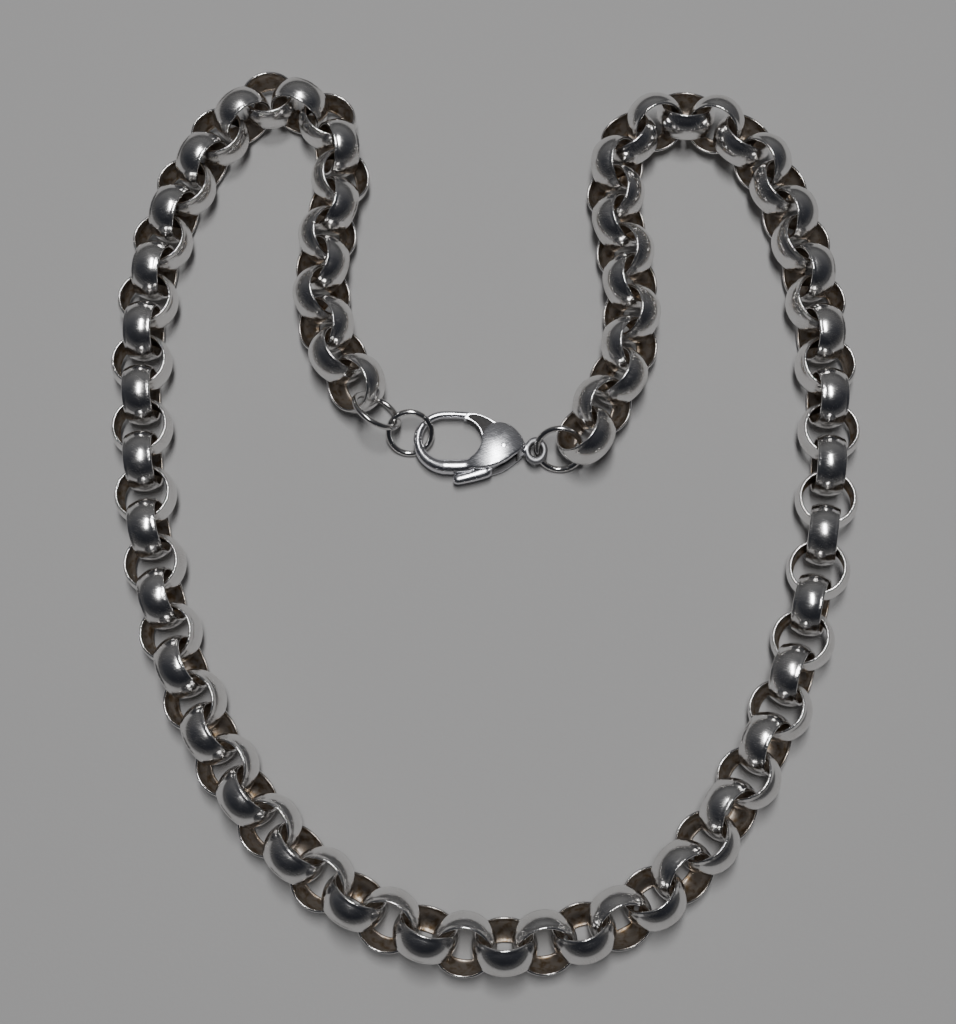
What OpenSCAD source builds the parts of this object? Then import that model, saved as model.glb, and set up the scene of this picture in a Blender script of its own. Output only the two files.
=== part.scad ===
// A rolo chain necklace of round domed silver links, closed by a lobster clasp and three jump
// rings, lying in a loop. Millimetres. The floor is z = 0, the clasp lies inside the loop, and the
// side of the loop that hangs at the front of a neck is at -y.

/* [Links] */
// Outside width of a link; the whole necklace keeps its shape and grows with it
link_od = 10; // [9:0.1:11]
// Width of the domed strip that a link is made of
strip_w = 4.6; // [4:0.05:4.7]
// How far the crown of the strip stands out beyond its two rims
crown_rise = 0.7; // [0.5:0.05:0.9]
// Thickness of the strip
wall = 0.36; // [0.28:0.01:0.4]
// Thickness of the rolled bead along each rim
bead_d = 0.46; // [0.42:0.01:0.5]

/* [Jump rings] */
// Thickness of the wire of the three jump rings
ring_wire = 0.72; // [0.5:0.02:0.8]

/* [Clasp] */
// Thickness of the clasp's body at its middle
body_t = 4.2; // [3.9:0.05:4.4]
// Thickness of the hook round its bend
hook_d = 1.5; // [1.3:0.05:1.7]
// Thickness of the hook at its tip
tip_d = 1.15; // [1:0.05:1.25]
// Thickness of the wire of the eye at the tail
eye_wire = 1; // [0.8:0.02:1.1]
// Thickness of the lever
lever_t = 1.6; // [1.4:0.05:1.7]
// Play of the lever on each side in its slot
slot_play = 0.15; // [0.1:0.01:0.2]
// Thickness of the rivet that the lever turns on
rivet_d = 1.2; // [1:0.05:1.4]

/* [Hidden] */
$fn = 96;
// Segments round a link and round the thin wires
link_fn = 60;
wire_fn = 24;
X = 0;
Y = 1;
Z = 2;

// Sizes that follow the width of a link; the places in the tables are for a link this wide
base_od = 10;
grow = link_od / base_od;
link_r = link_od / 2;

// Section of a link: an arc about (dome_x, 0), a bead at each end of its middle line
half_w = strip_w / 2;
dome_r = (pow(crown_rise, 2) + pow(half_w, 2)) / (2 * crown_rise);
dome_x = link_r - dome_r;
mid_r = dome_r - wall / 2;
bead_z = half_w - bead_d / 2;
dome_half = asin(bead_z / mid_r);
bead_x = dome_x + mid_r * cos(dome_half);

// The run of the chain. Each row: where it passes (x, y), how far the axis of the odd links leans
// to the left of the run there, and the step from link to link as a share of a link's width
LEAN = 2;
STEP = 3;
ROUTE = [
    [-19.9, 20.5, 45, 0.575],
    [-24.4, 28.4, 45, 0.56],
    [-25.9, 36.7, 46, 0.54],
    [-24.2, 52.6, 54, 0.53],
    [-23.2, 60, 62, 0.54],
    [-25.6, 67, 71, 0.55],
    [-31.8, 71.5, 77, 0.55],
    [-39.2, 69.7, 78, 0.54],
    [-45.4, 62.2, 78, 0.535],
    [-52, 47.3, 78, 0.53],
    [-54.8, 31.7, 84, 0.54],
    [-54.5, 14.8, 88, 0.56],
    [-51.5, -8.1, 81, 0.575],
    [-44.6, -29.9, 69, 0.57],
    [-33.1, -48.9, 62, 0.565],
    [-20.9, -60.4, 60, 0.58],
    [1.6, -68.4, 55, 0.6],
    [25, -62.3, 45, 0.59],
    [41, -44.1, 33, 0.585],
    [50.9, -21.6, 19, 0.58],
    [56.4, 7, 2, 0.575],
    [56.3, 29.8, -15, 0.55],
    [52.2, 50.6, -29, 0.53],
    [48, 60.2, -33, 0.525],
    [42.4, 66, -34, 0.53],
    [35.4, 68.6, -35, 0.54],
    [27.6, 66.1, -37, 0.54],
    [23.6, 60, -39, 0.535],
    [23.2, 53, -41, 0.53],
    [25.2, 38.3, -45, 0.55],
    [24.9, 27.4, -47, 0.56],
    [17.4, 11.5, -48, 0.59],
];

// How finely the run is followed between two rows
steps = 12;
// Height of the middle of a link that lies flat between two upright ones, as a share of its width
seat_share = 0.453;
// How far a flat link stands out of a bend, for each degree that the run turns from link to link
swing = 0.0018 * link_od;
// How far the last link is raised by the jump ring under it
end_lift = 0.05 * link_od;

// A row of the run, carried on straight beyond the first and the last
last_row = len(ROUTE) - 1;
function row(i) =
    i < 0 ? 2 * ROUTE[0] - ROUTE[1]
    : i > last_row ? 2 * ROUTE[last_row] - ROUTE[last_row - 1]
    : ROUTE[i];
function span(a, b) = norm([b[X] - a[X], b[Y] - a[Y]]);
function chord(i) = span(row(i), row(i + 1));
// Slope of the run at a row, weighed by how near its two neighbours are
function slope(i) =
    ((row(i) - row(i - 1)) * chord(i) / chord(i - 1) + (row(i + 1) - row(i)) * chord(i - 1) / chord(i))
    / (chord(i - 1) + chord(i));
// The run at a share t of the way from row i to the next
function blend(i, t) =
    (2 * pow(t, 3) - 3 * pow(t, 2) + 1) * row(i)
    + (pow(t, 3) - 2 * pow(t, 2) + t) * chord(i) * slope(i)
    + (3 * pow(t, 2) - 2 * pow(t, 3)) * row(i + 1)
    + (pow(t, 3) - pow(t, 2)) * chord(i) * slope(i + 1);
FINE = [
    for (i = [0:last_row - 1])
        for (j = [0:steps - 1])
            blend(i, j / steps),
    ROUTE[last_row],
];

// Links counted along the run, then the whole number of steps that is nearest
last_fine = len(FINE) - 1;
function piece(i) = i >= last_fine ? 0 : span(FINE[i], FINE[i + 1]) * 2 / (FINE[i][STEP] + FINE[i + 1][STEP]);
RAW = [for (i = 0, s = 0; i <= last_fine; s = s + piece(i), i = i + 1) s];
n_steps = round(RAW[last_fine] / base_od);
COUNT = [for (s = RAW) s / RAW[last_fine] * n_steps];
function column(c) = [for (i = [0:last_fine]) [COUNT[i], FINE[i][c]]];
X_AT = column(X);
Y_AT = column(Y);
LEAN_AT = column(LEAN);
function at(u) = [grow * lookup(u, X_AT), grow * lookup(u, Y_AT)];
function heading(u, v) = atan2(at(v)[Y] - at(u)[Y], at(v)[X] - at(u)[X]);
function wrap(a) = a - 360 * round(a / 360);
function turn_at(k) = k == 0 || k == n_steps ? 0 : wrap(heading(k, k + 1) - heading(k - 1, k));

// How far a link reaches from its middle along a line that makes this sine and cosine with its axis
function reach(s, c) =
    atan2(c, s) <= dome_half
    ? dome_x * s + dome_r
    : bead_x * s + bead_z * c + bead_d / 2;

// Each link: its middle, the heading of the run, the lean of its axis
HEAD = 3;
ROLL = 4;
function link(k) =
    let (
        head = heading(max(0, k - 0.5), min(n_steps, k + 0.5)),
        roll = lookup(k, LEAN_AT) - (k % 2 == 0 ? 0 : 90),
        out = -swing * turn_at(k) * cos(2 * roll),
        lift = end_lift * max(0, 1 - (n_steps - k) / 2),
        z = max(reach(abs(sin(roll)), abs(cos(roll))), seat_share * link_od)
    )
    [at(k)[X] - sin(head) * out, at(k)[Y] + cos(head) * out, z + lift, head, roll];
LINKS = [for (k = [0:n_steps]) link(k)];

// The middle of the whole loop, so that it stands over the origin
function side(l, way) = abs(sin(l[ROLL]) * sin(l[HEAD] + way));
function reach_on(l, way) = reach(sqrt(1 - pow(side(l, way), 2)), side(l, way));
mid_x = (min([for (l = LINKS) l[X] - reach_on(l, 0)]) + max([for (l = LINKS) l[X] + reach_on(l, 0)])) / 2;
mid_y = (min([for (l = LINKS) l[Y] - reach_on(l, 90)]) + max([for (l = LINKS) l[Y] + reach_on(l, 90)])) / 2;

// Jump rings: the middle (x, y, z), how far the axis tilts from upright, towards which side, and
// the radius of the middle line of the wire
TILT = 3;
TOWARD = 4;
RADIUS = 5;
CHAIN_RING = [-16.5, 15.84, 4.31, 50.5, 48.5, 4];
CATCH_RING = [-11.1, 12.72, 2.36, 33.2, -91.5, 3.5];
CLASP_RING = [13.25, 9.74, 2.92, 43.7, -96.8, 3.7];

// Clasp, in its own plane: the bend of the hook is about (bend_x, 0) and the tail is at +x
clasp_at = [-3.8 * grow, 11.6 * grow];
clasp_turn = -2;
bend_r = 4.25 * grow;
bend_x = -1.6 * grow;
hook_end_x = 2.9 * grow;
root_x = 6 * grow;
root_grow = 1.45;
// Face where the gate meets the tip of the hook
seam_at = [2 * grow, bend_r];
seam_turn = 42;
seam_gap = 0.12;
seam_reach = 6 * grow;
// Hollow of the hook at the gate
gate_x = 0.9 * grow;
gate_r = 3.55 * grow;
// Body: a round bulge and heel with a tail, and a belly on the lower cheek; both faces are domed
bulge_at = [7 * grow, -0.6 * grow];
bulge_r = 3.6 * grow;
heel_at = [4.3 * grow, -2.9 * grow];
heel_r = 2.3 * grow;
keel_at = [3.5 * grow, 5 * grow];
keel_r = 10.15 * grow;
belly_at = [6.4 * grow, -1.9 * grow];
belly_r = 4 * grow;
lens_r = 10 * grow;
upper_at = [6.4 * grow, -1.2 * grow];
lower_at = [6 * grow, -2 * grow];
tail_x = 9.6 * grow;
tail_end_x = 11.8 * grow;
tail_r = 1.2 * grow;
neck_r = 0.6 * grow;
eye_at = [13.1 * grow, -1.5 * grow];
eye_r = 1.65 * grow;
eye_z = 0.4 * grow;
// Slot of the lever, the lever and its rivet
slot_w = lever_t + 2 * slot_play;
rivet_at = [8 * grow, -1.2 * grow];
rivet_play = 0.03;
bore_play = 0.05;
boss_r = 1.75 * grow;
tab_step = 0.2;
tab_d = lever_t - tab_step;
tab_root = [4.6 * grow, -5.9 * grow];
tab_tip = [0.1 * grow, -7.03 * grow];
// Outlines in the plane of the clasp, each row a corner (x, y): where the keel's round edge counts,
// the slot, the gate as far as the rivet, and the arm that carries the tab
KEEL_EDGE = [[4.3, -6], [11.3, -6], [11.3, 0.1], [8, 2.8]];
SLOT_EDGE = [[2.6, 6], [4.1, 0], [4.1, -2], [2.9, -7.2], [10.2, -7.2], [10.2, 6]];
GATE_EDGE = [[5.2, -1.6], [4.4, -0.3], [0.9, 2.9], [1.9, 4.75], [3.4, 4.55], [4.9, 4.05], [6.9, 3.1], [8.6, 0.2]];
ARM_EDGE = [[6.3, -1.3], [4.2, -4.8], [4.2, -5.8], [5.4, -5.6], [9, -2.6]];

// Section of a link, standing off the axis that it is turned about
module link_section() {
    intersection() {
        difference() {
            translate([dome_x, 0]) circle(dome_r);
            translate([dome_x, 0]) circle(dome_r - wall);
        }
        polygon([
            [dome_x, 0],
            [dome_x + 2 * dome_r * cos(dome_half), -2 * dome_r * sin(dome_half)],
            [dome_x + 2 * dome_r * cos(dome_half), 2 * dome_r * sin(dome_half)],
        ]);
    }
    for (way = [-1, 1]) {
        translate([bead_x, way * bead_z]) circle(d = bead_d, $fn = wire_fn);
    }
}

module chain() {
    color("silver")
        translate([-mid_x, -mid_y, 0])
            for (l = LINKS) {
                translate([l[X], l[Y], l[Z]])
                    rotate([-l[ROLL], 0, l[HEAD]])
                        rotate_extrude($fn = link_fn)
                            link_section();
            }
}

// A round jump ring by its row
module jump_ring(r) {
    color("silver")
        translate([grow * r[X] - mid_x, grow * r[Y] - mid_y, grow * r[Z]])
            rotate([0, r[TILT], r[TOWARD]])
                rotate_extrude()
                    translate([grow * r[RADIUS], 0])
                        circle(d = ring_wire, $fn = wire_fn);
}

module chain_ring() {
    jump_ring(CHAIN_RING);
}

module catch_ring() {
    jump_ring(CATCH_RING);
}

module clasp_ring() {
    jump_ring(CLASP_RING);
}

// Puts what is drawn in the plane of the clasp where the clasp lies
module in_clasp() {
    translate([clasp_at[X] - mid_x, clasp_at[Y] - mid_y, body_t / 2])
        rotate(clasp_turn)
            children();
}

// A block whose flat side is the seam: the gate's side of it, or the hook's side
module seam_block(low, high) {
    translate([seam_at[X], seam_at[Y], 0])
        rotate(seam_turn)
            translate([-seam_reach, low, -seam_reach])
                cube([2 * seam_reach, high - low, 2 * seam_reach]);
}

module hook() {
    translate([bend_x, 0, 0])
        rotate(90)
            rotate_extrude(angle = 180)
                translate([bend_r, 0])
                    circle(d = hook_d);
    difference() {
        translate([bend_x, bend_r, 0])
            rotate([0, 90, 0])
                cylinder(h = hook_end_x - bend_x, d1 = hook_d, d2 = tip_d);
        seam_block(-seam_reach, 0);
    }
    translate([bend_x, -bend_r, 0])
        rotate([0, 90, 0])
            cylinder(h = root_x - bend_x, d1 = hook_d, d2 = hook_d * root_grow);
}

module body_outline() {
    difference() {
        union() {
            translate(bulge_at) circle(bulge_r);
            translate(heel_at) circle(heel_r);
            intersection() {
                translate(keel_at) circle(keel_r);
                polygon(concat(grow * KEEL_EDGE, [heel_at]));
            }
        }
        translate([gate_x, 0]) circle(gate_r);
    }
}

module body() {
    intersection() {
        union() {
            translate([0, 0, -body_t]) linear_extrude(2 * body_t) body_outline();
            translate([belly_at[X], belly_at[Y], -body_t])
                difference() {
                    cylinder(h = body_t, r = belly_r);
                    translate([gate_x - belly_at[X], -belly_at[Y], -body_t])
                        cylinder(h = 3 * body_t, r = gate_r);
                }
        }
        translate([upper_at[X], upper_at[Y], body_t / 2 - lens_r]) sphere(lens_r);
        translate([lower_at[X], lower_at[Y], lens_r - body_t / 2]) sphere(lens_r);
    }
    translate([tail_x, eye_at[Y] + neck_r / 2, 0])
        rotate([0, 90 - atan2(eye_z, tail_end_x - tail_x), 0])
            cylinder(h = tail_end_x - tail_x, r1 = tail_r, r2 = neck_r);
}

module slot() {
    translate([0, 0, -slot_w / 2])
        linear_extrude(slot_w)
            polygon(grow * SLOT_EDGE);
}

module clasp_body() {
    color("silver")
        in_clasp() {
            difference() {
                union() {
                    hook();
                    body();
                }
                slot();
                translate([rivet_at[X], rivet_at[Y], -body_t])
                    cylinder(h = 2 * body_t, d = rivet_d + 2 * rivet_play);
            }
            translate([eye_at[X], eye_at[Y], eye_z])
                rotate_extrude()
                    translate([eye_r, 0])
                        circle(d = eye_wire);
        }
}

module gate_outline() {
    difference() {
        polygon(concat(grow * GATE_EDGE, [rivet_at]));
        translate([gate_x, 0]) circle(gate_r);
    }
}

module clasp_lever() {
    color("silver")
        in_clasp() {
            difference() {
                union() {
                    translate([0, 0, -lever_t / 2]) linear_extrude(lever_t) gate_outline();
                    translate([rivet_at[X], rivet_at[Y], -lever_t / 2]) cylinder(h = lever_t, r = boss_r);
                    translate([0, 0, -lever_t / 2])
                        linear_extrude(lever_t)
                            polygon(grow * ARM_EDGE);
                }
                translate([rivet_at[X], rivet_at[Y], -lever_t])
                    cylinder(h = 2 * lever_t, d = rivet_d + 2 * bore_play);
                seam_block(-seam_gap, seam_reach);
            }
            translate([tab_tip[X], tab_tip[Y], 0])
                rotate([0, 90, atan2(tab_root[Y] - tab_tip[Y], tab_root[X] - tab_tip[X])])
                    cylinder(h = span(tab_tip, tab_root), d = tab_d);
            translate([tab_tip[X], tab_tip[Y], 0]) sphere(d = tab_d);
        }
}

module clasp_rivet() {
    color("silver")
        in_clasp()
            translate([rivet_at[X], rivet_at[Y], -body_t / 2])
                cylinder(h = body_t, d = rivet_d);
}

chain();
chain_ring();
catch_ring();
clasp_ring();
clasp_body();
clasp_lever();
clasp_rivet();
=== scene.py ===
"""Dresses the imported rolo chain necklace: silver links, jump rings and clasp on a pale floor."""

import logging
import math
from dataclasses import dataclass, field
from enum import Enum
from typing import Callable, NamedTuple, Sequence

import bmesh
import bpy
import numpy as np
from mathutils import Matrix, Vector


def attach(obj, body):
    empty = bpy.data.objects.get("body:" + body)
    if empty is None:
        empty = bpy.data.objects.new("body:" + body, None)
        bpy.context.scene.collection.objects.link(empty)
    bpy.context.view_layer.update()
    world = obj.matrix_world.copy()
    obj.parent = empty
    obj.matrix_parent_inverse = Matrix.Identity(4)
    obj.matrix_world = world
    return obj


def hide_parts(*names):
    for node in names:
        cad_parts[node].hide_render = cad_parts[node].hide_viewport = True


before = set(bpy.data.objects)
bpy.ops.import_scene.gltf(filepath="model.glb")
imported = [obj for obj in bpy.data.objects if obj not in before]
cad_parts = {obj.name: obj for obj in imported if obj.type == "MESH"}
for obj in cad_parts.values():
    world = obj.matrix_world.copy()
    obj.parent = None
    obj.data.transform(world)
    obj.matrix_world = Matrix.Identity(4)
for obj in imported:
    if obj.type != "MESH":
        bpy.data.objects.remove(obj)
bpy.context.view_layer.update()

MM = 0.001
LOG = logging.getLogger("necklace")
Colour = tuple[float, float, float]
Point = tuple[float, float, float]
Flat = tuple[float, float]
Test = Callable[[Vector], bool]


class Body(Enum):
    """The rigid bodies of the frame that a piece can ride on."""

    NECKLACE = "necklace"
    LEVER = "lever"


class Slot(Enum):
    """The record's material slots."""

    SILVER = "silver"
    CLASP = "clasp_silver"


class Bench:
    """The modelling steps that every piece is made with.

    A round cap is drawn in CAP_STEPS rings, up to CAP_TURN from its rim. NEAR is the share of a size
    that counts as none, and FINE_MERGE is how near points are merged on a piece in millimetres.
    """

    CAP_STEPS = 5
    CAP_TURN = math.radians(84)
    NEAR = 0.02
    FINE_MERGE = 1e-5

    @staticmethod
    def clear() -> None:
        """Leaves edit mode and deselects every object."""
        if bpy.context.object and bpy.context.object.mode != "OBJECT":
            bpy.ops.object.mode_set(mode="OBJECT")
        bpy.ops.object.select_all(action="DESELECT")

    @staticmethod
    def choose(*pieces: bpy.types.Object) -> None:
        """Selects pieces and nothing else, with the first of them active.

        Args:
            pieces: The objects.
        """
        Bench.clear()
        for piece in pieces:
            piece.select_set(True)
        bpy.context.view_layer.objects.active = pieces[0]

    @staticmethod
    def enter(piece: bpy.types.Object) -> None:
        """Opens a piece in edit mode with nothing else selected."""
        Bench.choose(piece)
        bpy.ops.object.mode_set(mode="EDIT")

    @staticmethod
    def leave() -> None:
        """Returns to object mode."""
        bpy.ops.object.mode_set(mode="OBJECT")

    @staticmethod
    def pick(piece: bpy.types.Object, test: Test, kind: str = "VERT") -> None:
        """Selects the points or faces of the edited mesh whose middle passes a test.

        Args:
            piece: The object in edit mode.
            test: Says whether a place is wanted.
            kind: VERT or FACE.
        """
        bpy.ops.mesh.select_mode(type=kind)
        bpy.ops.mesh.select_all(action="DESELECT")
        mesh = bmesh.from_edit_mesh(piece.data)
        for part in mesh.verts if kind == "VERT" else mesh.faces:
            if test(part.co if kind == "VERT" else part.calc_center_median()):
                part.select_set(True)
        mesh.select_flush_mode()
        bmesh.update_edit_mesh(piece.data)

    @staticmethod
    def apply(piece: bpy.types.Object, kind: str, **settings: object) -> None:
        """Adds a modifier and applies it at once.

        Args:
            piece: The object to change.
            kind: The modifier's type.
            settings: The modifier's own settings.
        """
        Bench.choose(piece)
        modifier = piece.modifiers.new(kind.lower(), kind)
        for name, value in settings.items():
            setattr(modifier, name, value)
        bpy.ops.object.modifier_apply(modifier=modifier.name)

    @staticmethod
    def cut(piece: bpy.types.Object, tool: bpy.types.Object, way: str = "DIFFERENCE") -> None:
        """Cuts a piece with a closed tool, which is then removed; INTERSECT keeps what is inside it."""
        Bench.apply(piece, "BOOLEAN", object=tool, operation=way, solver="EXACT")
        bpy.data.objects.remove(tool)

    @staticmethod
    def join(pieces: Sequence[bpy.types.Object]) -> bpy.types.Object:
        """Joins pieces into the first of them.

        Args:
            pieces: The mesh objects.

        Returns:
            The joined object.
        """
        Bench.choose(*pieces)
        bpy.ops.object.join()
        return pieces[0]

    @staticmethod
    def place(piece: bpy.types.Object, matrix: Matrix) -> None:
        """Puts a finished mesh in its place and leaves the object at the origin.

        Args:
            piece: The mesh object.
            matrix: Where its mesh goes.
        """
        piece.data.transform(matrix @ piece.matrix_world)
        piece.matrix_world = Matrix.Identity(4)
        piece.data.update()

    @staticmethod
    def tidy(piece: bpy.types.Object, merge: float = 1e-7) -> None:
        """Merges doubles and turns every face outwards.

        Args:
            piece: The mesh object.
            merge: How near two points are merged, in metres.
        """
        Bench.enter(piece)
        bpy.ops.mesh.select_all(action="SELECT")
        bpy.ops.mesh.remove_doubles(threshold=merge)
        bpy.ops.mesh.normals_make_consistent(inside=False)
        Bench.leave()

    @staticmethod
    def smooth(piece: bpy.types.Object, degrees: float) -> None:
        """Shades a piece smooth but for edges sharper than an angle.

        Args:
            piece: The mesh object.
            degrees: The angle.
        """
        Bench.choose(piece)
        bpy.ops.object.shade_smooth_by_angle(angle=math.radians(degrees))
        Bench.clear()

    @staticmethod
    def move(place: Point, shift: Flat) -> Matrix:
        """The move to a place in millimetres, once the loop is moved by a shift."""
        return Matrix.Translation(((place[0] - shift[0]) * MM, (place[1] - shift[1]) * MM, place[2] * MM))

    @staticmethod
    def turn(degrees: float, axis: str) -> Matrix:
        """A turn about an axis."""
        return Matrix.Rotation(math.radians(degrees), 4, axis)

    @staticmethod
    def fuse(piece: bpy.types.Object, grain: float, rounds: int) -> None:
        """Fuses a piece's closed parts into one skin of a given grain and rubs off its steps."""
        Bench.apply(piece, "REMESH", mode="VOXEL", voxel_size=grain)
        Bench.apply(piece, "SMOOTH", factor=0.5, iterations=rounds)

    @staticmethod
    def hand_over(piece: bpy.types.Object, finish: bpy.types.Material, body: Body, node: str,
                  slot: Slot) -> None:
        """Dresses a shaped piece, sets it on the body that it rides on and hides the part of the frame that
        it replaces.

        Args:
            piece: The shaped piece.
            finish: Its material.
            body: The body that it moves with.
            node: The part of the frame that it replaces.
            slot: Its material slot, which is not used.
        """
        piece.data.materials.append(finish)
        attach(piece, body.value)
        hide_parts(node)

    @staticmethod
    def turned(name: str, section: Sequence[Flat], around: int) -> bpy.types.Object:
        """Turns a closed section about Z: a ring is extruded and scaled from point to point.

        Args:
            name: The object's name.
            section: Radius and height of each point, in order round the section.
            around: Points round the ring.

        Returns:
            The closed mesh object.
        """
        Bench.clear()
        radius, height = section[0]
        bpy.ops.mesh.primitive_circle_add(vertices=around, radius=radius, location=(0, 0, 0))
        piece = bpy.context.object
        piece.name = name
        Bench.enter(piece)
        bpy.ops.mesh.select_all(action="SELECT")
        bpy.ops.transform.translate(value=(0, 0, height))
        for next_radius, next_height in [*section[1:], section[0]]:
            bpy.ops.mesh.extrude_edges_move(
                TRANSFORM_OT_translate={"value": (0, 0, next_height - height)})
            share = next_radius / radius
            bpy.ops.transform.resize(value=(share, share, 1), center_override=(0, 0, next_height))
            radius, height = next_radius, next_height
        Bench.leave()
        Bench.tidy(piece)
        return piece

    @staticmethod
    def swept(name: str, rows: Sequence[Point], sides: int = 28, flat: float = 1.0) -> bpy.types.Object:
        """Draws a round bar along a path in the XY plane, ring by ring, with domed ends.

        Args:
            name: The object's name.
            rows: Place and radius at each point of its middle line.
            sides: Points round the bar.
            flat: Its height as a share of its width.

        Returns:
            The closed mesh object.
        """
        ends = [rows[0], *rows, rows[-1]]
        turn = [math.atan2(after[1] - before[1], after[0] - before[0])
                for before, after in zip(ends, ends[2:])]
        Bench.clear()
        bpy.ops.mesh.primitive_circle_add(
            vertices=sides, radius=rows[0][2], location=(0, 0, 0), rotation=(0, math.pi / 2, 0))
        piece = bpy.context.object
        piece.name = name
        bpy.ops.object.transform_apply(location=True, rotation=True, scale=True)
        piece.data.transform(Matrix.Translation((*rows[0][:2], 0)) @ Matrix.Rotation(turn[0], 4, "Z")
                             @ Matrix.Diagonal((1, 1, flat, 1)))
        Bench.enter(piece)
        bpy.ops.mesh.select_all(action="SELECT")
        for i in range(1, len(rows)):
            (x0, y0, r0), (x1, y1, r1) = rows[i - 1], rows[i]
            bpy.ops.mesh.extrude_edges_move(TRANSFORM_OT_translate={"value": (x1 - x0, y1 - y0, 0)})
            bpy.ops.transform.resize(value=(r1 / r0,) * 3, center_override=(x1, y1, 0))
            bend = math.remainder(turn[i] - turn[i - 1], 2 * math.pi)
            bpy.ops.transform.rotate(value=-bend, orient_axis="Z", center_override=(x1, y1, 0))
        Bench.leave()
        for end, sign in ((0, -1), (-1, 1)):
            Bench.dome(piece, rows[end], turn[end], sign)
        Bench.tidy(piece)
        return piece

    @staticmethod
    def dome(piece: bpy.types.Object, row: Point, turn: float, sign: int) -> None:
        """Closes the open end of a bar with a round cap.

        Args:
            piece: The bar.
            row: Place and radius of its end.
            turn: Heading of the bar there.
            sign: 1 at the last end, -1 at the first.
        """
        middle, radius = Vector((*row[:2], 0)), row[2]
        out = Vector((math.cos(turn), math.sin(turn), 0)) * sign
        Bench.enter(piece)
        Bench.pick(piece, lambda p: abs((p - middle).dot(out)) < radius * Bench.NEAR
                   and (p - middle).length < radius * (1 + 2 * Bench.NEAR))
        for i in range(Bench.CAP_STEPS):
            low, high = (Bench.CAP_TURN * k / Bench.CAP_STEPS for k in (i, i + 1))
            bpy.ops.mesh.extrude_edges_move(
                TRANSFORM_OT_translate={"value": out * radius * (math.sin(high) - math.sin(low))})
            bpy.ops.transform.resize(value=(math.cos(high) / math.cos(low),) * 3,
                                     center_override=middle + out * radius * math.sin(high))
        bpy.ops.mesh.edge_face_add()
        Bench.leave()

    @staticmethod
    def plate(name: str, outline: Sequence[Flat], low: float, high: float) -> bpy.types.Object:
        """Raises a plate from an outline: a disc's points are moved to it, then it is extruded.

        Args:
            name: The object's name.
            outline: The corners, in order.
            low: Height of the underside.
            high: Height of the top.

        Returns:
            The closed mesh object.
        """
        Bench.clear()
        bpy.ops.mesh.primitive_circle_add(
            vertices=len(outline), radius=1, fill_type="NGON", location=(0, 0, 0))
        piece = bpy.context.object
        piece.name = name
        Bench.enter(piece)
        mesh = bmesh.from_edit_mesh(piece.data)
        mesh.faces.ensure_lookup_table()
        for vertex, corner in zip(mesh.faces[0].verts, outline):
            vertex.co = (*corner, low)
        bmesh.update_edit_mesh(piece.data)
        bpy.ops.mesh.select_all(action="SELECT")
        bpy.ops.mesh.extrude_region_move(TRANSFORM_OT_translate={"value": (0, 0, high - low)})
        Bench.leave()
        Bench.tidy(piece)
        return piece


class Curve:
    """Rounding of outlines."""

    @staticmethod
    def round(corners: Sequence[Flat], steps: int) -> list[Flat]:
        """A smooth closed line through the corners.

        Args:
            corners: The corners, in order.
            steps: Points from one corner to the next.

        Returns:
            The line's points.
        """
        line = []
        for i in range(len(corners)):
            a, b, c, d = (np.array(corners[(i + k) % len(corners)]) for k in (-1, 0, 1, 2))
            for t in np.arange(steps) / steps:
                line.append(tuple(0.5 * (2 * b + (c - a) * t + (2 * a - 5 * b + 4 * c - d) * t ** 2
                                         + (3 * b - a - 3 * c + d) * t ** 3)))
        return line


class Value:
    """A shader socket that can be added and multiplied as a number."""

    def __init__(self, nodes: "Nodes", socket: bpy.types.NodeSocket) -> None:
        """Wraps an output socket of a node tree."""
        self.nodes = nodes
        self.socket = socket

    def _math(self, operation: str, other: "Value | float") -> "Value":
        """Adds one Math node and gives its result."""
        node = self.nodes.node("ShaderNodeMath", {"operation": operation}, {0: self, 1: other})
        return Value(self.nodes, node.outputs[0])

    def __add__(self, other: "Value | float") -> "Value":
        """Sum."""
        return self._math("ADD", other)

    __radd__ = __add__

    def __mul__(self, other: "Value | float") -> "Value":
        """Product."""
        return self._math("MULTIPLY", other)

    __rmul__ = __mul__

    def between(self, low: float, high: float) -> "Value":
        """A smooth step.

        Args:
            low: What gives 0, as does all below it.
            high: What gives 1, as does all above it.

        Returns:
            The step.
        """
        node = self.nodes.node("ShaderNodeMapRange", {"interpolation_type": "SMOOTHSTEP"},
                               {"Value": self, "From Min": low, "From Max": high})
        return Value(self.nodes, node.outputs[0])


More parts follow.
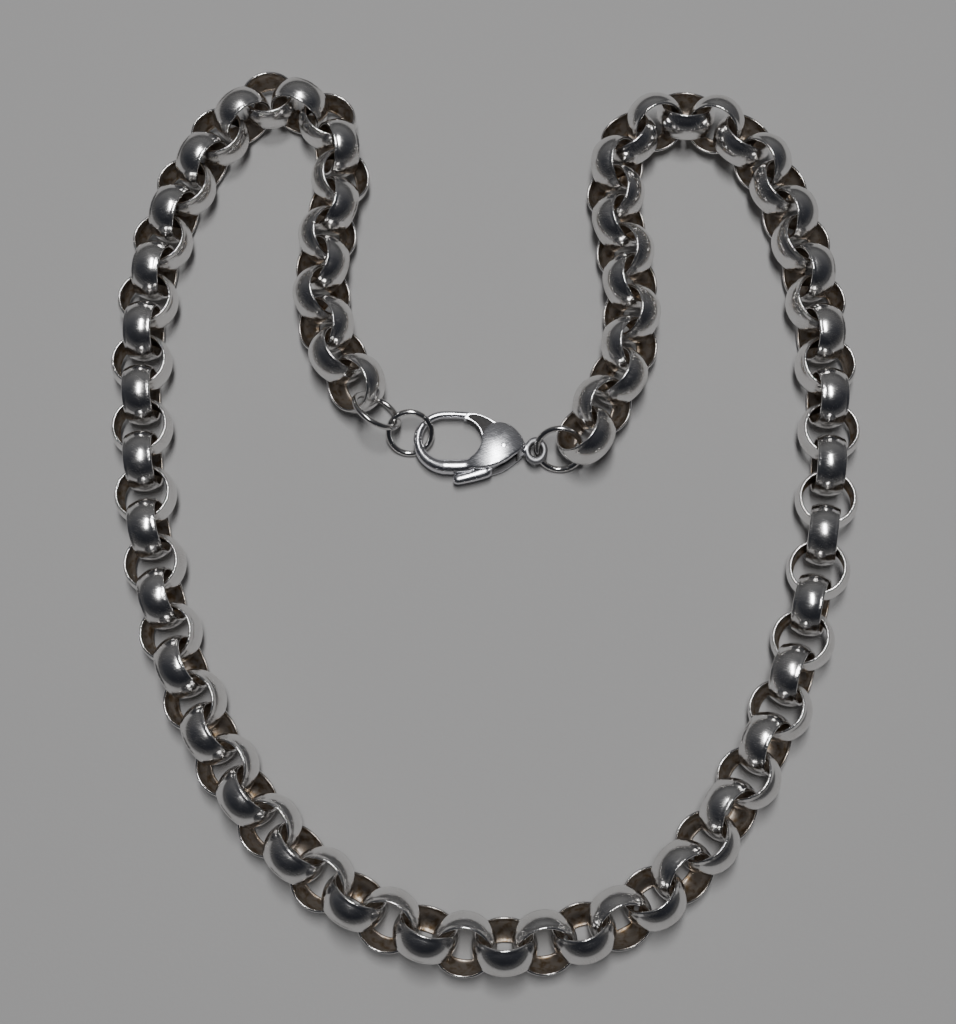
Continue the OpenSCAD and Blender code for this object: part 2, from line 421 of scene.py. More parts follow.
class Nodes:
    """A node tree that nodes are added to."""

    def __init__(self, tree: bpy.types.NodeTree) -> None:
        """Empties the tree of a material or of the world."""
        self.tree = tree
        tree.nodes.clear()

    def node(self, kind: str, settings: dict | None = None, sockets: dict | None = None) -> bpy.types.Node:
        """Adds a node.

        Args:
            kind: The node's type.
            settings: Its own settings, and stops for a ramp.
            sockets: Values or links for its inputs, by name or number.

        Returns:
            The node.
        """
        node = self.tree.nodes.new(kind)
        for name, value in (settings or {}).items():
            if name == "stops":
                ramp = node.color_ramp
                while len(ramp.elements) < len(value):
                    ramp.elements.new(0.5)
                for element, (place, colour) in zip(ramp.elements, value):
                    element.position = place
                    element.color = (*colour, 1)
            else:
                setattr(node, name, value)
        for name, value in (sockets or {}).items():
            self.feed(node.inputs[name], value)
        return node

    def feed(self, socket: bpy.types.NodeSocket, value: object) -> None:
        """Gives a socket a link or a plain value.

        Args:
            socket: The input socket.
            value: A Value, an output socket, a number or a tuple.
        """
        if isinstance(value, Value):
            value = value.socket
        if isinstance(value, bpy.types.NodeSocket):
            self.tree.links.new(value, socket)
        else:
            socket.default_value = value

    def mix(self, share: object, first: object, second: object) -> bpy.types.NodeSocket:
        """Blends two colours.

        Args:
            share: How much of the second: a Value, a socket or a number.
            first: A colour or a colour socket.
            second: A colour or a colour socket.

        Returns:
            The blended colour.
        """
        node = self.node("ShaderNodeMix", {"data_type": "RGBA"}, {0: share})
        for index, colour in ((6, first), (7, second)):
            self.feed(node.inputs[index], (*colour, 1) if isinstance(colour, tuple) else colour)
        return node.outputs[2]


class Graph(Nodes):
    """The nodes of one material, ending in a Principled shader."""

    def __init__(self, name: str) -> None:
        """Starts an empty material.

        Args:
            name: The material's name.
        """
        self.material = bpy.data.materials.new(name)
        self.material.use_nodes = True
        super().__init__(self.material.node_tree)
        self.shader = self.node("ShaderNodeBsdfPrincipled")
        self.node("ShaderNodeOutputMaterial", {}, {"Surface": self.shader.outputs[0]})

    def noise(self, lumps: float | Point, detail: float = 2.0, turn: Point = (0, 0, 0)) -> Value:
        """Noise about 0.5 on the piece's own coordinates.

        Args:
            lumps: Lumps a metre, or one number for each of the turned axes.
            detail: Finer layers on top.
            turn: Angles of the axes in degrees.

        Returns:
            The noise.
        """
        scale, stretch = (1, lumps) if isinstance(lumps, tuple) else (lumps, (1, 1, 1))
        mapping = self.node("ShaderNodeMapping", {"vector_type": "TEXTURE"}, {
            "Vector": self.node("ShaderNodeTexCoord").outputs["Object"],
            "Rotation": tuple(math.radians(angle) for angle in turn),
            "Scale": tuple(1 / share for share in stretch)})
        node = self.node("ShaderNodeTexNoise", {}, {
            "Vector": mapping.outputs[0], "Scale": scale, "Detail": detail, "Roughness": 0.55})
        return Value(self, node.outputs["Fac"])

    def mask(self, name: str) -> Value:
        """A mask stored on the mesh's points."""
        return Value(self, self.node("ShaderNodeAttribute", {"attribute_name": name}).outputs["Fac"])

    def bump(self, height: Value, distance: float,
             under: bpy.types.NodeSocket | None = None) -> bpy.types.NodeSocket:
        """A bump of a height map.

        Args:
            height: The map, from 0 to 1.
            distance: What 1 stands for, in metres.
            under: A normal that it lies on.

        Returns:
            The normal.
        """
        sockets = {"Height": height, "Distance": distance, "Strength": 1.0}
        if under is not None:
            sockets["Normal"] = under
        return self.node("ShaderNodeBump", {}, sockets).outputs[0]

    def dress(self, **sockets: object) -> bpy.types.Material:
        """Feeds the shader and returns the material.

        Args:
            sockets: Values or links, with underscores for the spaces in a socket's name.

        Returns:
            The finished material.
        """
        for name, value in sockets.items():
            self.feed(self.shader.inputs[name.replace("_", " ")], value)
        return self.material


@dataclass(frozen=True)
class Silver:
    """A silver finish: its colours and gloss, its scratches, dents and brushing, and its tarnish and painted
    shade.

    The clean metal goes from `colour` to the worn `film` in clouds and patches, which dull it by
    `wear`, and rubbed hairlines dull it by `scuff`. Where the `inner` mask lies, a dark colour hides
    `cover` of the metal and dulls it by `soot`: on the links it is the tarnish of their hollows, on
    the clasp it is painted shade in the slot, on the floors of the lever's pockets and over the eye.
    A brushed finish has a comb of `grain` in place of shallow dents. Scratches, dents and the comb's
    depth are in metres, and the patterns' sizes are lumps a metre.
    """

    name: str
    colour: Colour = (0.83, 0.82, 0.81)
    film: Colour = (0.62, 0.59, 0.56)
    tarnish_and_shade: Colour = (0.2, 0.135, 0.075)
    gloss: float = 0.13
    wear: float = 0.09
    scuff: float = 0.1
    scratch: float = 1.2e-6
    dent: float = 6e-6
    cover: float = 0.72
    soot: float = 0.22
    rim_dent: float = 0.0
    grain: float = 0.0
    grain_turn: float = 0.0
    grain_depth: float = 4.5e-5
    clouds: float = 260
    patches: float = 900
    dents: float = 420
    rim_dents: float = 1900
    hairs: Point = (900, 16000, 900)
    hair_turn: Point = (20, 35, 25)
    cross_hairs: Point = (14000, 800, 800)
    cross_turn: Point = (-30, 10, 60)
    comb: Point = (260, 4600, 260)
    cloud_edge: Flat = (0.35, 0.72)
    cloud_share: float = 0.35
    patch_edge: Flat = (0.42, 0.7)
    patch_share: float = 0.12
    rub_edge: Flat = (0.2, 0.42)

    def material(self) -> bpy.types.Material:
        """Builds the material from the points' masks `inner`, where tarnish lies on the links and painted
        shade on the clasp, and `rim`.

        Returns:
            The finished material.
        """
        graph = Graph(self.name)
        inner = graph.mask("inner")
        cloud = graph.noise(self.clouds, detail=3).between(*self.cloud_edge)
        patches = graph.noise(self.patches, detail=4).between(*self.patch_edge)
        hairs = graph.noise(self.hairs, turn=self.hair_turn)
        cross = graph.noise(self.cross_hairs, turn=self.cross_turn)
        rub = (hairs * cross).between(*self.rub_edge)
        worn = cloud * self.cloud_share + patches * self.patch_share
        clean = graph.mix(worn, self.colour, self.film)
        # Tarnish in the links' hollows and painted shade on the clasp: the dark colour where the inner mask
        # lies.
        colour = graph.mix(inner * (self.cover + (1 - self.cover) * patches), clean, self.tarnish_and_shade)
        rough = self.gloss + self.wear * cloud + self.scuff * rub + self.soot * inner
        if self.grain:
            comb = graph.noise(self.comb, detail=4, turn=(0, 0, self.grain_turn))
            rough = rough + self.grain * comb
            low = graph.bump(comb, self.grain * self.grain_depth)
        else:
            low = graph.bump(graph.noise(self.dents), self.dent)
        if self.rim_dent:
            low = graph.bump(graph.mask("rim") * graph.noise(self.rim_dents), self.rim_dent, low)
        normal = graph.bump(rub, self.scratch, low)
        return graph.dress(Base_Color=colour, Metallic=1.0, Roughness=rough, Normal=normal)


@dataclass(frozen=True)
class Floor:
    """The plain pale floor."""

    colour: Colour = (0.46, 0.455, 0.452)
    shade: float = 0.93
    size: float = 3.0
    weave: float = 1500
    weave_share: float = 0.25
    weave_depth: float = 2.5e-5
    rough: float = 0.85

    def build(self) -> None:
        """Lays the floor just under the necklace."""
        Bench.clear()
        bpy.ops.mesh.primitive_plane_add(size=self.size, location=(0, 0, 0))
        floor = bpy.context.object
        floor.name = "floor"
        graph = Graph("floor")
        weave = graph.noise(self.weave, detail=3)
        dark = tuple(self.shade * part for part in self.colour)
        colour = graph.mix(weave * self.weave_share, self.colour, dark)
        normal = graph.bump(weave, self.weave_depth)
        floor.data.materials.append(graph.dress(Base_Color=colour, Roughness=self.rough, Normal=normal))


class Row(NamedTuple):
    """A place that the run of links passes: x, y, lean of the odd links' axes, step by width."""

    x: float
    y: float
    lean: float
    step: float


ROUTE = (
    Row(-19.9, 20.5, 45, 0.575),
    Row(-24.4, 28.4, 45, 0.56),
    Row(-25.9, 36.7, 46, 0.54),
    Row(-24.2, 52.6, 54, 0.53),
    Row(-23.2, 60, 62, 0.54),
    Row(-25.6, 67, 71, 0.55),
    Row(-31.8, 71.5, 77, 0.55),
    Row(-39.2, 69.7, 78, 0.54),
    Row(-45.4, 62.2, 78, 0.535),
    Row(-52, 47.3, 78, 0.53),
    Row(-54.8, 31.7, 84, 0.54),
    Row(-54.5, 14.8, 88, 0.56),
    Row(-51.5, -8.1, 81, 0.575),
    Row(-44.6, -29.9, 69, 0.57),
    Row(-33.1, -48.9, 62, 0.565),
    Row(-20.9, -60.4, 60, 0.58),
    Row(1.6, -68.4, 55, 0.6),
    Row(25, -62.3, 45, 0.59),
    Row(41, -44.1, 33, 0.585),
    Row(50.9, -21.6, 19, 0.58),
    Row(56.4, 7, 2, 0.575),
    Row(56.3, 29.8, -15, 0.55),
    Row(52.2, 50.6, -29, 0.53),
    Row(48, 60.2, -33, 0.525),
    Row(42.4, 66, -34, 0.53),
    Row(35.4, 68.6, -35, 0.54),
    Row(27.6, 66.1, -37, 0.54),
    Row(23.6, 60, -39, 0.535),
    Row(23.2, 53, -41, 0.53),
    Row(25.2, 38.3, -45, 0.55),
    Row(24.9, 27.4, -47, 0.56),
    Row(17.4, 11.5, -48, 0.59),
)


@dataclass
class LinkShape:
    """One round domed link, in millimetres: a bowed strip with a rolled bead along each rim.

    The link is `width` across, of a strip `strip` wide whose middle stands out by `crown`.
    """

    width: float = 10.0
    strip: float = 4.6
    crown: float = 0.7
    wall: float = 0.36
    bead: float = 0.46
    around: int = 72
    arc_steps: int = 12
    bead_steps: int = 7
    crease: float = 60.0
    inner_fade: float = 0.4
    rim_fade: float = 3.0

    def __post_init__(self) -> None:
        """Works out the arc of the section and where its beads are."""
        half = self.strip / 2
        self.dome_r = (self.crown ** 2 + half ** 2) / (2 * self.crown)
        self.dome_x = self.width / 2 - self.dome_r
        self.mid_r = self.dome_r - self.wall / 2
        self.bead_z = half - self.bead / 2
        self.half_angle = math.asin(self.bead_z / self.mid_r)
        self.bead_x = self.dome_x + self.mid_r * math.cos(self.half_angle)

    def reach(self, sine: float, cosine: float) -> float:
        """How far a link reaches along a line that makes this sine and cosine with its axis.

        Args:
            sine: Sine of the angle to the axis.
            cosine: Its cosine.

        Returns:
            The distance from its middle.
        """
        if math.atan2(cosine, sine) <= self.half_angle:
            return self.dome_x * sine + self.dome_r
        return self.bead_x * sine + self.bead_z * cosine + self.bead / 2

    def section(self) -> list[Flat]:
        """The closed outline of the section: outer arc, bead, inner arc, bead.

        Returns:
            Radius and height of its points, in metres.
        """
        spread = math.sqrt(max(0.0, (self.bead ** 2 - self.wall ** 2) / 4))
        points = []
        for radius, way in ((self.dome_r, 1), (self.dome_r - self.wall, -1)):
            end = self.half_angle - spread / math.sqrt(radius * self.mid_r)
            for i in range(self.arc_steps + 1):
                angle = way * end * (2 * i / self.arc_steps - 1)
                points.append((self.dome_x + radius * math.cos(angle), radius * math.sin(angle)))
            points += self.rim(way, points[-1])
        return [(x * MM, z * MM) for x, z in points]

    def rim(self, way: int, last: Flat) -> list[Flat]:
        """The points round one bead, after the arc that ends at it.

        Args:
            way: 1 for the upper bead, -1 for the lower.
            last: The arc's last point.

        Returns:
            The points between the two arcs.
        """
        middle = (self.bead_x, way * self.bead_z)
        start = math.atan2(last[1] - middle[1], last[0] - middle[0])
        outward = math.atan2(way * self.bead_z, self.bead_x - self.dome_x)
        swing = math.remainder(way * math.pi / 2 + outward - start, 2 * math.pi)
        points = []
        for i in range(1, self.bead_steps + 1):
            angle = start + 2 * swing * i / (self.bead_steps + 1)
            points.append((middle[0] + self.bead / 2 * math.cos(angle),
                           middle[1] + self.bead / 2 * math.sin(angle)))
        return points

    def master(self) -> bpy.types.Object:
        """Turns one link and marks its hollow side for the tarnish and its rims for their dents.

        Returns:
            The link, with its axis along Z.
        """
        link = Bench.turned("link_master", self.section(), self.around)
        places = np.empty(len(link.data.vertices) * 3)
        link.data.vertices.foreach_get("co", places)
        places = places.reshape(-1, 3) / MM
        depth = np.hypot(np.hypot(places[:, 0], places[:, 1]) - self.dome_x, places[:, 2])
        Masks.store(link, "inner", np.clip((self.mid_r - depth) / (self.wall * self.inner_fade), 0, 1))
        rim = (np.abs(places[:, 2]) - self.strip / 2 + self.bead) / (self.bead / self.rim_fade)
        Masks.store(link, "rim", np.clip(rim, 0, 1))
        Bench.smooth(link, self.crease)
        return link


class Masks:
    """Numbers kept on a mesh's points for its material."""

    @staticmethod
    def store(piece: bpy.types.Object, name: str, values: np.ndarray) -> None:
        """Writes one number a point under a mask's name."""
        mask = piece.data.attributes.new(name, "FLOAT", "POINT")
        mask.data.foreach_set("value", np.asarray(values, np.float32))

    @staticmethod
    def tarnish_and_shade(piece: bpy.types.Object, rule: Callable[[Vector], float] = lambda place: 0.0) -> None:
        """Writes how far painted shade covers each point of a piece, in the mask that carries tarnish on the
        links; without a rule there is none.
        """
        Masks.store(piece, "inner", np.array([rule(v.co) for v in piece.data.vertices]))

    @staticmethod
    def step(value: float, low: float, high: float) -> float:
        """A straight step from 0 at low to 1 at high, either way round."""
        return min(1.0, max(0.0, (value - low) / (high - low)))


class Seat(NamedTuple):
    """Where a link lies: its middle in millimetres, the run's heading and its axis's lean."""

    x: float
    y: float
    z: float
    head: float
    lean: float

    def matrix(self, shift: Flat) -> Matrix:
        """The placing of a link here, once the loop is moved by a shift."""
        return (Bench.move((self.x, self.y, self.z), shift)
                @ Bench.turn(self.head, "Z") @ Bench.turn(-self.lean, "X"))


@dataclass
class Run:
    """The run of the chain, worked out from its rows as in the part's source.

    A link's middle lies no lower than `seat_share` of its width, a bend pushes it aside by `swing`
    a degree, and the last two are lifted, by `end_lift` at the end, to meet the ring.
    """

    shape: LinkShape
    rows: Sequence[Row] = ROUTE
    steps: int = 12
    seat_share: float = 0.453
    swing: float = 0.018
    end_lift: float = 0.5
    seats: list[Seat] = field(default_factory=list)
    shift: Flat = (0.0, 0.0)

    def __post_init__(self) -> None:
        """Follows the run, seats every link and centres the loop."""
        self._follow()
        self.seats = [self._seat(number) for number in range(self.count + 1)]
        self.shift = (self._middle(0), self._middle(90))

    def _seat(self, k: int) -> Seat:
        """Seats one link: odd ones lean 90 degrees from even ones, and bends push them aside.

        Args:
            k: The link's number from the start of the run.

        Returns:
            The link's seat.
        """
        last = self.count
        head = self._heading(max(0, k - 0.5), min(last, k + 0.5))
        lean = float(np.interp(k, self.along, self.fine[:, 2])) - (90 if k % 2 else 0)
        bend = 0.0
        if 0 < k < last:
            bend = math.remainder(self._heading(k, k + 1) - self._heading(k - 1, k), 360)
        out = -self.swing * bend * math.cos(math.radians(2 * lean))
        roll, turn = math.radians(lean), math.radians(head)
        x, y = self._at(k)
        high = max(self.shape.reach(abs(math.sin(roll)), abs(math.cos(roll))),
                   self.seat_share * self.shape.width)
        high += self.end_lift * max(0.0, 1 - (last - k) / 2)
        return Seat(x - math.sin(turn) * out, y + math.cos(turn) * out, high, head, lean)

    def _follow(self) -> None:
        """Fits a smooth line through the rows and counts the links along it."""
        table = np.array(self.rows)
        table = np.vstack([2 * table[0] - table[1], table, 2 * table[-1] - table[-2]])
        chords = np.hypot(*np.diff(table[:, :2], axis=0).T)
        fine = []
        slopes = [self._slope(table, chords, i) for i in range(1, len(table) - 1)]
        for i in range(1, len(table) - 2):
            for t in np.arange(self.steps) / self.steps:
                fine.append((2 * t ** 3 - 3 * t ** 2 + 1) * table[i]
                            + (t ** 3 - 2 * t ** 2 + t) * chords[i] * slopes[i - 1]
                            + (3 * t ** 2 - 2 * t ** 3) * table[i + 1]
                            + (t ** 3 - t ** 2) * chords[i] * slopes[i])
        self.fine: np.ndarray = np.array([*fine, table[-2]])
        gaps = np.hypot(*np.diff(self.fine[:, :2], axis=0).T)
        counts = np.cumsum(gaps * 2 / (self.fine[:-1, 3] + self.fine[1:, 3]))
        raw = np.concatenate([[0], counts]) / self.shape.width
        self.count: int = round(float(raw[-1]))
        self.along: np.ndarray = raw / raw[-1] * self.count

    @staticmethod
    def _slope(table: np.ndarray, chords: np.ndarray, i: int) -> np.ndarray:
        """How fast the line changes at a row, weighed by its two chords.

        Args:
            table: The rows.
            chords: The distances between them.
            i: The row's number.

        Returns:
            The change of each column a millimetre.
        """
        before, after = chords[i - 1], chords[i]
        return ((table[i] - table[i - 1]) * after / before
                + (table[i + 1] - table[i]) * before / after) / (before + after)

    def _at(self, u: float) -> Flat:
        """The run's place at a count of links."""
        return tuple(float(np.interp(u, self.along, self.fine[:, c])) for c in (0, 1))

    def _heading(self, u: float, v: float) -> float:
        """The run's heading between two counts, in degrees."""
        (x0, y0), (x1, y1) = self._at(u), self._at(v)
        return math.degrees(math.atan2(y1 - y0, x1 - x0))

    def _middle(self, way: float) -> float:
        """The middle of the loop's box.

        Args:
            way: 0 for the middle along x, 90 for the middle along y.

        Returns:
            The middle, in millimetres.
        """
        low, high = math.inf, -math.inf
        for seat in self.seats:
            side = abs(math.sin(math.radians(seat.lean)) * math.sin(math.radians(seat.head + way)))
            reach = self.shape.reach(math.sqrt(1 - side ** 2), side)
            place = seat.y if way else seat.x
            low, high = min(low, place - reach), max(high, place + reach)
        return (low + high) / 2


@dataclass
class Chain:
    """The run of links, each a copy of one turned link.

    A hair of `ease` keeps them inside the frame's box, and `spin` degrees from one to the next
    keep their scratches from lining up.
    """

    shape: LinkShape
    run: Run
    finish: Silver
    ease: float = 0.998
    spin: float = 137.5

    def build(self) -> list[bpy.types.Object]:
        """Makes the links, puts each in its seat and dresses it.

        Returns:
            The links, in order.
        """
        master = self.shape.master()
        silver = self.finish.material()
        links = []
        for number, seat in enumerate(self.run.seats, 1):
            link = bpy.data.objects.new(f"link_{number:02d}", master.data.copy())
            bpy.context.scene.collection.objects.link(link)
            spin = Bench.turn(self.spin * number, "Z")
            Bench.place(link, seat.matrix(self.run.shift) @ spin @ Matrix.Scale(self.ease, 4))
            Bench.hand_over(link, silver, Body.NECKLACE, "chain", Slot.SILVER)
            links.append(link)
        bpy.data.objects.remove(master)
        return links


@dataclass
class JumpRing:
    """A round jump ring bent from wire, its two ends butted together, in millimetres and degrees.

    It is tilted about Y, then turned by `toward` about Z. The seam is where its two ends meet, a
    gap of `gap` degrees, and their rims are filed off by `filed`.
    """

    name: str
    middle: Point
    tilt: float
    toward: float
    radius: float
    wire: float = 1.0
    seam: float = 0.0
    gap: float = 1.2
    filed: float = 0.05
    sides: int = 20
    around: int = 100
    crease: float = 50.0

    def build(self, shift: Flat, finish: bpy.types.Material) -> bpy.types.Object:
        """Spins the wire, closes and files its ends and lays the ring in its place.

        Args:
            shift: What the loop is moved by.
            finish: The material.

        Returns:
            The ring.
        """
        Bench.clear()
        bpy.ops.mesh.primitive_circle_add(vertices=self.sides, radius=self.wire / 2 * MM,
                                          location=(self.radius * MM, 0, 0), rotation=(math.pi / 2, 0, 0))
        ring = bpy.context.object
        ring.name = self.name + "_wire"
        bpy.ops.object.transform_apply(location=True, rotation=True, scale=True)
        Bench.enter(ring)
        bpy.ops.mesh.select_all(action="SELECT")
        bpy.ops.mesh.spin(steps=self.around, angle=math.radians(360 - self.gap),
                          center=(0, 0, 0), axis=(0, 0, 1))
        Bench.leave()
        Bench.enter(ring)
        bpy.ops.mesh.select_all(action="DESELECT")
        bpy.ops.mesh.select_mode(type="EDGE")
        bpy.ops.mesh.select_non_manifold()
        bpy.ops.mesh.edge_face_add()
        Bench.leave()
        self._file_ends(ring)
        Bench.tidy(ring)
        Bench.smooth(ring, self.crease)
        Masks.tarnish_and_shade(ring)
        Bench.place(ring, Bench.move(self.middle, shift) @ Bench.turn(self.toward, "Z")
                    @ Bench.turn(self.tilt, "Y") @ Bench.turn(self.seam, "Z"))
        Bench.hand_over(ring, finish, Body.NECKLACE, self.name, Slot.SILVER)
        return ring

    def _file_ends(self, ring: bpy.types.Object) -> None:
        """Bevels the rims of the wire's two cut ends, the only faces of more than four corners.

        Args:
            ring: The closed ring.
        """
        Bench.enter(ring)
        bpy.ops.mesh.select_mode(type="FACE")
        bpy.ops.mesh.select_all(action="DESELECT")
        mesh = bmesh.from_edit_mesh(ring.data)
        for face in mesh.faces:
            face.select_set(len(face.verts) > 4)
        bmesh.update_edit_mesh(ring.data)
        bpy.ops.mesh.bevel(offset=self.filed * MM, segments=2, affect="EDGES")
        Bench.leave()


@dataclass(frozen=True)
class ClaspPlane:
    """Where the lobster clasp lies, and what its parts share, in millimetres in its own plane."""

    at: Flat = (-3.8, 11.6)
    turn: float = -2.0
    thick: float = 4.2
    gate_at: Flat = (0.9, 0.0)
    gate_r: float = 3.55
    rivet_at: Flat = (8.0, -1.2)
    tab: Sequence[Point] = (
        (5.2, -5.15, 1.1), (4.2, -5.55, 1.08), (3.2, -5.9, 1.03), (2.2, -6.22, 0.98), (1.4, -6.46, 0.93),
        (0.8, -6.62, 0.9))
    groove_from: int = 2
    groove_tall: float = 3.0
    through: float = 6.0
    disc_sides: int = 96

    def settle(self, piece: bpy.types.Object, shift: Flat) -> None:
        """Takes a piece from millimetres in the clasp's plane to its place on the floor."""
        Bench.place(piece, Bench.move((*self.at, self.thick / 2), shift) @ Bench.turn(self.turn, "Z")
                    @ Matrix.Diagonal((MM, MM, MM, 1)))

    def disc(self, at: Flat, radius: float, low: float, high: float) -> bpy.types.Object:
        """A round bar across the clasp's plane, as a part or as a tool for cutting.

        Args:
            at: Its middle.
            radius: Its radius.
            low: Height of its underside.
            high: Height of its top.

        Returns:
            The bar.
        """
        Bench.clear()
        bpy.ops.mesh.primitive_cylinder_add(
            vertices=self.disc_sides, radius=radius, depth=high - low, location=(*at, (low + high) / 2))
        disc = bpy.context.object
        Bench.place(disc, Matrix.Identity(4))
        return disc

    def drill(self, piece: bpy.types.Object, at: Flat, radius: float) -> None:
        """Cuts a round hole or hollow right through a piece."""
        Bench.cut(piece, self.disc(at, radius, -self.through, self.through))

    def groove(self, room: float) -> bpy.types.Object:
        """The tool that clears the hook for the thumb tab, with room round it and tall enough."""
        rows = [(x, y, radius + room) for x, y, radius in self.tab[self.groove_from:]]
        return Bench.swept("groove", rows, flat=self.groove_tall)


@dataclass
class ClaspBody:
    """The cast body of the clasp: a hook that swells into a domed body, and the eye at its tail.

    The rows of `tip`, `shank` and `neck` are place and radius. The bend between tip and shank
    swells from `bend_thin` by `bend_swell`. The cheeks' `outline` is cut out of one skin over
    `pillow` and `toe`, each a middle and three radii, and the lower cheek is moved by `under`. The
    rows of `blends` are place and reach of what is polished smooth. Each pair of a `_dark` field
    says where painted shade starts and where it is full: along the slot's length, past its wall,
    along the neck towards the eye and past the eye's wire.
    """

    plane: ClaspPlane
    tip: Sequence[Point] = ((2.35, 4.301, 0.52), (1.9, 4.31, 0.57), (1.0, 4.328, 0.6), (-0.2, 4.352, 0.61))
    bend_x: float = -1.6
    bend_r: float = 4.3
    bend_long: float = 1.03
    bend_drop: float = 0.3
    bend_thin: float = 0.62
    bend_swell: float = 0.6
    bend_rate: float = 2.2
    bend_steps: int = 26
    shank: Sequence[Point] = (
        (-0.2, -4.6, 1.22), (1.2, -4.5, 1.22), (2.6, -4.3, 1.22), (3.8, -3.95, 1.22), (5.0, -3.6, 1.2))
    pillow: tuple[Flat, Point] = ((7.0, -2.7), (5.9, 6.8, 2.1))
    toe: tuple[Flat, Point] = ((2.4, -4.55), (1.3, 1.3, 1.2))
    under: Flat = (0.15, -0.6)
    neck: Sequence[Point] = ((9.4, -1.25, 1.25), (10.2, -1.3, 1.1), (11.0, -1.4, 0.82), (11.7, -1.45, 0.66))
    neck_up: float = 0.15
    eye: Point = (13.25, -1.5, 0.4)
    eye_r: float = 1.68
    eye_wire: float = 1.3
    eye_oval: float = 0.84
    slot: float = 1.9
    room: float = 0.1
    pin: float = 0.45
    pin_round: float = 0.12
    pin_crease: float = 35.0
    grain: float = 0.085
    crease: float = 75.0
    blends: Sequence[Point] = ((2.8, -4.4, 3.0), (4.4, -4.3, 2.4), (10.6, -1.3, 2.2))
    edge_from: float = 5.0
    edge_reach: float = 1.2
    # Painted shade: the slot between the cheeks, the end of the neck with the whole eye, and the inside of
    # the eye's wire are painted dark.
    slot_dark: tuple[Flat, Flat] = ((3.2, 4.4), (11.0, 10.2))
    wall_dark: Flat = (0.12, -0.02)
    neck_dark: Flat = (11.4, 12.2)
    neck_cover: float = 0.55
    eye_dark: Flat = (0.1, -0.5)
    eye_cover: float = 0.95
    polish: int = 45
    outline_steps: int = 8
    outline: Sequence[Flat] = (
        (1.6, -4.5), (3.6, -5.1), (5.2, -4.98), (6.7, -4.6), (8.3, -3.8), (9.7, -2.7), (10.9, -1.7),
        (11.45, -0.9), (11.2, 0.3), (10.3, 1.6), (9.1, 2.65), (7.9, 3.1), (6.8, 3.1), (5.5, 2.5), (4.7, 1.3),
        (4.3, 0), (3.2, -2.4))
    slot_edge: Sequence[Flat] = ((2.6, 6.4), (4.1, 0), (4.1, -2), (2.9, -7.2), (10.2, -7.2), (10.2, 6.4))

    def _hook(self) -> bpy.types.Object:
        """Draws the hook from its tip, round the bend and into the body.

        Returns:
            The hook, thin at its tip and thick at its root.
        """
        bend = []
        for i in range(self.bend_steps + 1):
            share = i / self.bend_steps
            angle = math.radians(90 + 180 * share)
            bend.append((self.bend_x + self.bend_r * math.cos(angle) * self.bend_long,
                         self.bend_r * math.sin(angle) - self.bend_drop * share ** 2,
                         self.bend_thin + self.bend_swell * share ** self.bend_rate))
        return Bench.swept("hook", [*self.tip, *bend, *self.shank], sides=32)

    def _pillow(self) -> bpy.types.Object:
        """Stretches one skin over a wide cushion and the small toe that runs into the hook.

        Returns:
            The closed skin.
        """
        parts = []
        for at, size in (self.pillow, self.toe):
            Bench.clear()
            bpy.ops.mesh.primitive_uv_sphere_add(
                segments=96, ring_count=48, radius=1, location=(*at, 0), scale=size)
            Bench.place(bpy.context.object, Matrix.Identity(4))
            parts.append(bpy.context.object)
        skin = Bench.join(parts)
        Bench.enter(skin)
        bpy.ops.mesh.select_all(action="SELECT")
        bpy.ops.mesh.convex_hull()
        Bench.leave()
        Bench.tidy(skin, Bench.FINE_MERGE)
        return skin

    def _cheek(self, side: int) -> bpy.types.Object:
        """Cuts one cheek's outline out of the pillow; the lower cheek shows past the upper one.

        Args:
            side: 1 for the upper cheek, -1 for the lower.

        Returns:
            The cheek.
        """
        low, high = sorted((0.0, side * self.plane.thick))
        cheek = Bench.plate("cheek", Curve.round(self.outline, self.outline_steps), low, high)
        Bench.cut(cheek, self._pillow(), "INTERSECT")
        if side < 0:
            cheek.data.transform(Matrix.Translation((*self.under, 0)))
        self.plane.drill(cheek, self.plane.gate_at, self.plane.gate_r)
        return cheek

    def _tail(self) -> bpy.types.Object:
        """Draws the tapered neck between the body and the eye.

        Returns:
            The neck.
        """
        neck = Bench.swept("neck", self.neck)
        neck.data.transform(Matrix.Translation((0, 0, self.neck_up)))
        return neck

    def _eye(self) -> bpy.types.Object:
        """Bends the eye's wire into its slightly oval ring.

        Returns:
            The eye.
        """
        Bench.clear()
        bpy.ops.mesh.primitive_torus_add(major_radius=self.eye_r, minor_radius=self.eye_wire / 2,
                                         major_segments=72, minor_segments=28, location=self.eye)
        eye = bpy.context.object
        Bench.place(eye, Matrix.Translation((self.eye[0] * (1 - self.eye_oval), 0, 0))
                    @ Matrix.Diagonal((self.eye_oval, 1, 1, 1)))
        return eye

    def build(self, shift: Flat, finish: bpy.types.Material) -> bpy.types.Object:
        """Fuses the parts into one casting, polishes it, and cuts the slot and the tab's groove.

        Args:
            shift: What the loop is moved by.
            finish: The material.

        Returns:
            The body.
        """
        body = Bench.join([self._cheek(1), self._cheek(-1), self._hook(), self._tail(), self._eye()])
        body.name = "clasp_casting"
        Bench.fuse(body, self.grain, rounds=5)
        self._polish(body)
        Bench.cut(body, Bench.plate("slot", self.slot_edge, -self.slot / 2, self.slot / 2))
        Bench.cut(body, self.plane.groove(self.room))
        Bench.fuse(body, self.grain, rounds=2)
        Bench.tidy(body, Bench.FINE_MERGE)
        Masks.tarnish_and_shade(body, self._painted_shade)
        Bench.smooth(body, self.crease)
        self.plane.settle(body, shift)
        Bench.hand_over(body, finish, Body.NECKLACE, "clasp_body", Slot.CLASP)
        return body

